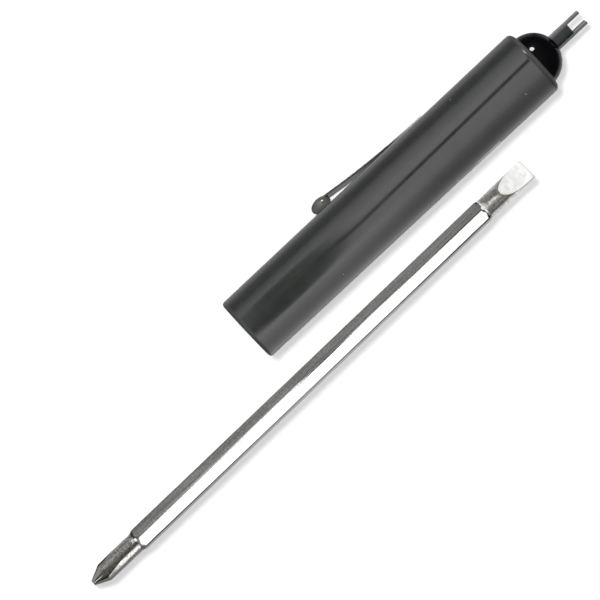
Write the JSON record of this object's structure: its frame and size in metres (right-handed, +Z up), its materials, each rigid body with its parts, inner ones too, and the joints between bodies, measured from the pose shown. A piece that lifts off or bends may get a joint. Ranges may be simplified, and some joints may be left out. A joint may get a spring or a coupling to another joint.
{
  "type": "pocket screwdriver",
  "caption": "Pocket screwdriver with a reversible hexagonal blade, a tube handle with a ball-ended pocket clip, and a valve core fork in its round end.",
  "frame": {"origin": "middle of the blade socket's mouth, on the barrel's axis, in the plane of the barrel's front end", "axes": "+X along the barrel towards the valve fork, +Z up with the tool lying on a table, +Y to the side that the pocket clip leans to; the blade lies on the -Y side"},
  "size_m": [0.1622, 0.032, 0.016],
  "materials": {
    "barrel_plastic": "satin moulded grey plastic with fine scuffs",
    "socket_plastic": "satin moulded black plastic",
    "spring_steel": "plain spring steel",
    "zinc_steel": "zinc plated",
    "plug_plastic": "glossy moulded black plastic",
    "fork_steel": "plain folded sheet steel",
    "clip_steel": "darkened spring steel",
    "nickel": "bright nickel plate"
  },
  "bodies": {
    "handle": {"barrel": "barrel_plastic", "blade_socket": "socket_plastic", "grip_spring": "spring_steel", "stop_disc": "zinc_steel", "end_plug": "plug_plastic", "valve_fork": "fork_steel"},
    "clip": {"pocket_clip": "clip_steel"},
    "blade": {"blade": "nickel"}
  },
  "joints": [
    {"name": "clip_flex", "type": "hinge", "parent": "handle", "child": "clip", "pos_m": [0.0596, 0.00597, -0.00537], "axis": [0, -0.6691, -0.7431], "range_deg": [0, 5], "stiffness_Nm_per_rad": 0.27, "springref_deg": -4.01},
    {"name": "blade_draw", "type": "slide", "parent": "handle", "child": "blade", "axis": [-1, 0, 0], "range_m": [0, 0.07]}
  ]
}
